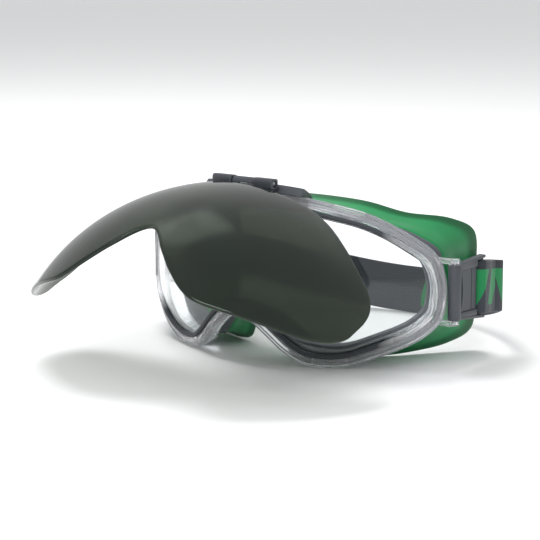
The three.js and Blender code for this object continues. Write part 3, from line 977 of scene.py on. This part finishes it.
class VentOperator(bpy.types.Operator):
    """Builds the ribbed vent inserts in the frame's top and bottom walls"""

    bl_idname = "goggles.vents"
    bl_label = "Vents"

    def execute(self, context):
        looks = context.scene.goggles_looks
        dark = elastomer("vent_rubber", (0.06, 0.066, 0.078), 0.45, 0.6)
        pale = moulded_plastic("vent_plastic", (0.4, 0.45, 0.42), 0.3, 0.45)
        for key, (low, high) in VENTS.items():
            lower = key.startswith("bottom")
            finish = pale if lower else dark
            plate = softened([(0.8, -7.9), (0.8, -2.9), (1.3, -2.9), (1.3, -7.9)], 0.12, 2)
            base = frame_arc("vent_" + key, plate, low, high, 16)
            count = looks.vent_ribs if lower else looks.vent_ribs // 2 + 1
            places = []
            for i in range(count):
                share = low + (high - low) * (i + 0.5) / count
                point = wrap_point(FRAME_WRAP, *inset_point(FRAME_CURVE, share, 0.5), -5.4)
                outer = wrap_point(FRAME_WRAP, *inset_point(FRAME_CURVE, share, -0.5), -5.4)
                ahead = wrap_point(FRAME_WRAP, *inset_point(FRAME_CURVE, share, 0.5), -4.4)
                places.append((point, ahead - point, outer - point))
            ribs = row_of("ribs", places, (4.7, 0.45, 0.72), finish)
            dress(merged(base, [ribs]), finish, "clear_frame", "goggles", "vent_insert_" + key)
        return {"FINISHED"}


class HingeOperator(bpy.types.Operator):
    """Builds the hinge bracket, its pin and the visor's knuckles"""

    bl_idname = "goggles.hinge"
    bl_label = "Hinge"

    def execute(self, context):
        looks = context.scene.goggles_looks
        grey = moulded_plastic("hinge_plastic", looks.plastic_grey)
        profile = softened([
            (-3, 2.7), (-3.3, -3), (-3, -10), (2.4, -10.3), (2.4, -9.4), (-0.35, -9.4), (-0.35, 1.4),
            (0.5, 2.5), (0.8, 3.1), (-1.6, 3.3),
        ], 0.45)
        bracket = frame_arc("hinge_bracket", profile, -BRACKET_SHARE, BRACKET_SHARE, 48)
        lug = rod("lug", LUG_RADIUS, (-LUG_HALF, 0, 0), (LUG_HALF, 0, 0), 0.12)
        web = block("web", (-LUG_HALF, 0.1, -2.9), (LUG_HALF, 5.1, 0.7), 0.35)
        carve(bracket, [lug, web], "UNION")
        slot = block("slot", (-2.8, -3.4, -3.7), (2.8, 1, -0.3), 0.2)
        carve(bracket, [slot, rod("bore", HINGE_BORE_RADIUS, (-30, 0, 0), (30, 0, 0))], "DIFFERENCE")
        dress(bracket, grey, "dark_plastic", "goggles", "hinge_base")
        pin = rod("hinge_pin_steel", PIN_RADIUS, (-PIN_HALF, 0, 0), (PIN_HALF, 0, 0), 0.25)
        dress(pin, turned_steel(), "steel", "goggles", "hinge_pin")

        carrier = self.visor_band("visor_carrier_plate", -PLATE_HALF, PLATE_HALF, 20, [
            (-9, -1.4), (-17, -1.4), (-17, -2.4), (-9, -2.4),
        ])
        adds = []
        for side in SIDES.values():
            low, high = sorted((side * KNUCKLE_INNER_X, side * KNUCKLE_OUTER_X))
            adds.append(self.knuckle(low, high))
            adds.append(self.visor_band("arm", *sorted((side * ARM_FROM, side * ARM_TO)), 8, [
                (-10.5, -1.4), (-7, -1.4), (-5.6, -0.4), (-1, -0.2),
                (-1, -1.6), (-5.6, -1.9), (-7, -2.4), (-10.5, -2.4),
            ]))
        carve(carrier, adds, "UNION")
        carve(carrier, [rod("bore", HINGE_BORE_RADIUS, (-30, 0, 0), (30, 0, 0))], "DIFFERENCE")
        dress(carrier, grey, "dark_plastic", "visor", "visor_carrier")
        return {"FINISHED"}

    def visor_band(self, name, start, end, steps, profile):
        """A profile of [height, out] pairs that follows the raised visor's wrap."""
        tilt = Matrix.Rotation(-VISOR_RAISED, 3, "X")
        ring = softened(profile, 0.3, 2)
        rounds = [start + (end - start) * i / steps for i in range(steps + 1)]
        sections = [[tilt @ wrap_point(VISOR_WRAP, r, z, out) for z, out in ring] for r in rounds]
        return loft(name, sections)

    def knuckle(self, low, high):
        """A knuckle with flats on its top and front and bevelled ends."""
        corners = [(-2.6, -2.3), (2.2, -2.3), (2.5, 2.1), (-2.0, 2.55), (-2.75, 1.4)]
        sections = []
        bevel = ((0, 0.86), (0.15, 0.95), (0.45, 1))
        steps = [(low + inset, size) for inset, size in bevel]
        steps += [(high - inset, size) for inset, size in reversed(bevel)]
        for x, size in steps:
            sections.append([Vector((x, p.x * size, p.y * size)) for p in softened(corners, 1.1, 6)])
        return loft("knuckle", sections)


class VisorOperator(bpy.types.Operator):
    """Builds the smoked flip-up visor"""

    bl_idname = "goggles.visor"
    bl_label = "Visor"

    def execute(self, context):
        looks = context.scene.goggles_looks
        tilt = Matrix.Rotation(-VISOR_RAISED, 3, "X")
        visor = wrap_plate("visor_filter", VISOR_WRAP, VISOR_CURVE, 0, 2, 150, 44, tilt)
        dress(visor, smoked_filter(looks), "filter", "visor", "filter_visor")
        return {"FINISHED"}


class ClipOperator(bpy.types.Operator):
    """Builds the strap clips and their pins"""

    bl_idname = "goggles.clips"
    bl_label = "Strap clips"

    def execute(self, context):
        looks = context.scene.goggles_looks
        grey = moulded_plastic("clip_plastic", looks.plastic_grey)
        steel = turned_steel()
        half = CLIP_HEIGHT / 2
        for name, side in SIDES.items():
            def place(p, side=side):
                x = CLIP_PIN[0] + CLIP_AIM[1] * p.x + CLIP_AIM[0] * p.y
                y = CLIP_PIN[1] - CLIP_AIM[0] * p.x + CLIP_AIM[1] * p.y
                return Vector((side * x, y, CLIP_MID_Z + p.z))

            ends = place(Vector((0, 0, -half))), place(Vector((0, 0, half)))
            clip = rod("strap_clip_%s_shell" % name, CLIP_BARREL_RADIUS, *ends, 0.14)
            adds = []
            for end in (1, -1):
                def flared(p, end=end):
                    turned = Matrix.Rotation(end * CLIP_FLARE, 3, "X") @ p
                    return place(turned + Vector((0, 0, end * (half - 0.7))))

                adds.append(block("rail", (-1.8, 0, -0.7), (1.8, CLIP_LENGTH, 0.7), 0.4, flared))
                low, high = sorted((end * (half - 3), end * half))
                adds.append(block("cheek", (-1.8, 1.7, low), (1.6, PANEL_END, high), 0.5, place))
            adds.append(block("panel", (-1.3, 1.7, -half), (0.7, PANEL_END, half), 0.3, place))
            heights = [-9.6 + 19.2 * k / 14 for k in range(15)]
            adds.append(loft("ridge", [
                [place(Vector((p.x, p.y + 1.3 - 1.3 * (z / 9.6) ** 2, z))) for p in softened(
                    [(0.4, 3), (1.3, 3), (1.3, 3.8), (0.4, 3.8)], 0.25, 3)]
                for z in heights]))
            bar = place(Vector((0, BAR_AT, -half - 0.9))), place(Vector((0, BAR_AT, half + 0.9)))
            adds.append(rod("bar", BAR_RADIUS, *bar, 0.1))
            carve(clip, adds, "UNION")
            bore = place(Vector((0, 0, -20))), place(Vector((0, 0, 20)))
            seam = block("seam", (0.35, 11.7, -9.3), (1.2, 12.1, 9.3), 0.1, place)
            carve(clip, [rod("bore", CLIP_BORE_RADIUS, *bore), seam], "DIFFERENCE")
            dress(clip, grey, "dark_plastic", "clip_" + name, "strap_clip_" + name)
            reach = PIN_BORE_REACH - 0.35
            ends = place(Vector((0, 0, -reach))), place(Vector((0, 0, reach)))
            pin = rod("clip_pin_%s_steel" % name, CLIP_PIN_RADIUS, *ends, 0.3)
            dress(pin, steel, "steel", "goggles", "clip_pin_" + name)
        return {"FINISHED"}


def strap_plan():
    """The strap's middle line from its left tail to its right tail."""
    ax, ay = CLIP_AIM

    def at(run, out):
        z = CLIP_MID_Z - STRAP_DROOP * max(0, run - BAR_AT)
        return Vector((CLIP_PIN[0] + ax * run + ay * out, CLIP_PIN[1] + ay * run - ax * out, z))

    turn = BAR_RADIUS + 0.35 + STRAP_THICKNESS / 2
    half = [at(TAIL_END_AT, -1), at(28, -0.1), at(24, 1.4)]
    for i in range(13):
        angle = math.pi * i / 12
        half.append(at(BAR_AT - turn * math.sin(angle), turn * math.cos(angle)))
    half += [at(24, -turn + 0.3), at(28, -2.7), at(TAIL_END_AT, -3.2)]
    plan = list(half)
    start_z = CLIP_MID_Z - STRAP_DROOP * (LOOP_START_AT - BAR_AT)
    first = math.asin((CLIP_PIN[1] + LOOP_START_AT - STRAP_CENTRE_Y) / STRAP_REACH)
    for i in range(73):
        angle = first + (math.pi - 2 * first) * i / 72
        sag = STRAP_SAG * max(math.sin(math.pi * i / 72), 0) ** 1.2
        x, y = STRAP_HALF_WIDTH * math.cos(angle), STRAP_CENTRE_Y + STRAP_REACH * math.sin(angle)
        plan.append(Vector((x, y, start_z - sag)))
    plan += [Vector((-p.x, p.y, p.z)) for p in reversed(half)]
    return plan


class StrapOperator(bpy.types.Operator):
    """Builds the woven elastic strap in three lengths"""

    bl_idname = "goggles.strap"
    bl_label = "Head strap"

    def execute(self, context):
        looks = context.scene.goggles_looks
        finish = woven_elastic(looks)
        plan = strap_plan()
        fine = []
        for i in range(len(plan) - 1):
            p0, p1, p2, p3 = (plan[min(max(i + k, 0), len(plan) - 1)] for k in (-1, 0, 1, 2))
            for k in range(4):
                t = k / 4
                fine.append(0.5 * (2 * p1 + (p2 - p0) * t + (2 * p0 - 5 * p1 + 4 * p2 - p3) * t * t
                                   + (3 * p1 - p0 - 3 * p2 + p3) * t**3))
        fine.append(plan[-1])
        runs = [0.0]
        for a, b in zip(fine, fine[1:]):
            runs.append(runs[-1] + (b - a).length)
        cut = next(i for i, p in enumerate(fine) if p.y > CLIP_PIN[1] + 55 and i > 30)
        parts = {
            "left": (0, cut),
            "middle": (cut, len(fine) - 1 - cut),
            "right": (len(fine) - 1 - cut, len(fine) - 1),
        }
        made = {}
        for name, (start, end) in parts.items():
            made[name] = self.length_of_strap("head_strap_" + name, fine, runs, start, end, looks)
            length = (runs[end] - runs[start]) * MM
            dress(made[name], finish, "webbing", "goggles" if name == "middle" else None, "head_strap")
            rests = ["strap_clip_" + side for side in SIDES if name in (side, "middle")]
            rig.sheet(made[name], flat=(looks.strap_width, length), held="stretched", rests_on=rests)
        for name, side in SIDES.items():
            start = HINGE + Vector((side * CLIP_PIN[0], CLIP_PIN[1] + 33, CLIP_MID_Z)) * MM
            end = HINGE + Vector((side * CLIP_PIN[0], CLIP_PIN[1] + 54, CLIP_MID_Z)) * MM
            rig.blend(made[name], "clip_" + name, "goggles", start, end)
        return {"FINISHED"}

    def length_of_strap(self, name, fine, runs, start, end, looks):
        """One closed length of webbing with rounded edges, its weave laid along it."""
        wide, thick = looks.strap_width / MM / 2, STRAP_THICKNESS / 2
        profile = []
        rows = 16
        for j in range(rows + 1):
            profile.append((thick, -wide + thick * 0.7 + (2 * wide - 1.4 * thick) * j / rows))
        bends = [math.pi * k / 4 for k in (1, 2, 3)]
        edges = [(thick * math.cos(a), wide - 0.7 * thick * (1 - math.sin(a))) for a in bends]
        profile += edges
        profile += [(-thick, z) for _, z in reversed(profile[: rows + 1])]
        profile += [(-out, -z) for out, z in edges]
        verts, faces, coords = [], [], []
        for i in range(start, end + 1):
            ahead = fine[min(i + 1, len(fine) - 1)] - fine[max(i - 1, 0)]
            side = Vector((ahead.y, -ahead.x, 0)).normalized()
            for out, z in profile:
                verts.append(HINGE + (fine[i] + side * out + Vector((0, 0, z))) * MM)
                coords.append((runs[i] * MM, z * MM))
        count = len(profile)
        for i in range(end - start):
            for j in range(count):
                k = (j + 1) % count
                faces.append((i * count + j, i * count + k, (i + 1) * count + k, (i + 1) * count + j))
        faces.append(tuple(range(count)))
        faces.append(tuple(range(len(verts) - 1, len(verts) - 1 - count, -1)))
        mesh = bpy.data.meshes.new(name)
        mesh.from_pydata(verts, [], faces)
        layer = mesh.uv_layers.new(name="weave")
        for loop in mesh.loops:
            layer.data[loop.index].uv = coords[loop.vertex_index]
        printed = mesh.attributes.new("printed", "FLOAT", "POINT")
        total = runs[-1]
        for i in range(len(verts)):
            run = runs[start + i // count]
            on_tail = run < TAIL_PRINT or run > total - TAIL_PRINT
            printed.data[i].value = float(on_tail or LOOP_PRINT[0] < run < LOOP_PRINT[1])
        finish_mesh(mesh, 50)
        obj = bpy.data.objects.new(name, mesh)
        bpy.context.scene.collection.objects.link(obj)
        return obj


OPERATORS = (
    CameraOperator, StageOperator, FrameOperator, LensOperator, SealOperator, VentOperator,
    HingeOperator, VisorOperator, ClipOperator, StrapOperator,
)


class LooksPanel(bpy.types.Panel):
    """Lists the goggles' sizes, colours and pieces"""

    bl_idname = "VIEW3D_PT_goggles"
    bl_label = "Welding goggles"
    bl_space_type = "VIEW_3D"
    bl_region_type = "UI"
    bl_category = "Goggles"

    def draw(self, context):
        looks = context.scene.goggles_looks
        for name in LooksSettings.__annotations__:
            self.layout.prop(looks, name)
        for operator in OPERATORS:
            self.layout.operator(operator.bl_idname)


CLASSES = (LooksSettings, *OPERATORS, LooksPanel)


def register():
    for cls in CLASSES:
        bpy.utils.register_class(cls)
    bpy.types.Scene.goggles_looks = bpy.props.PointerProperty(type=LooksSettings)


def unregister():
    del bpy.types.Scene.goggles_looks
    for cls in reversed(CLASSES):
        bpy.utils.unregister_class(cls)


def main():
    register()
    for operator in OPERATORS:
        group, name = operator.bl_idname.split(".")
        getattr(getattr(bpy.ops, group), name)()
    with open("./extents.json", "w") as f:
        json.dump({"cad": CAD_BOX, "visual": [list(corner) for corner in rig.bounds()]}, f)


if __name__ == "__main__":
    main()
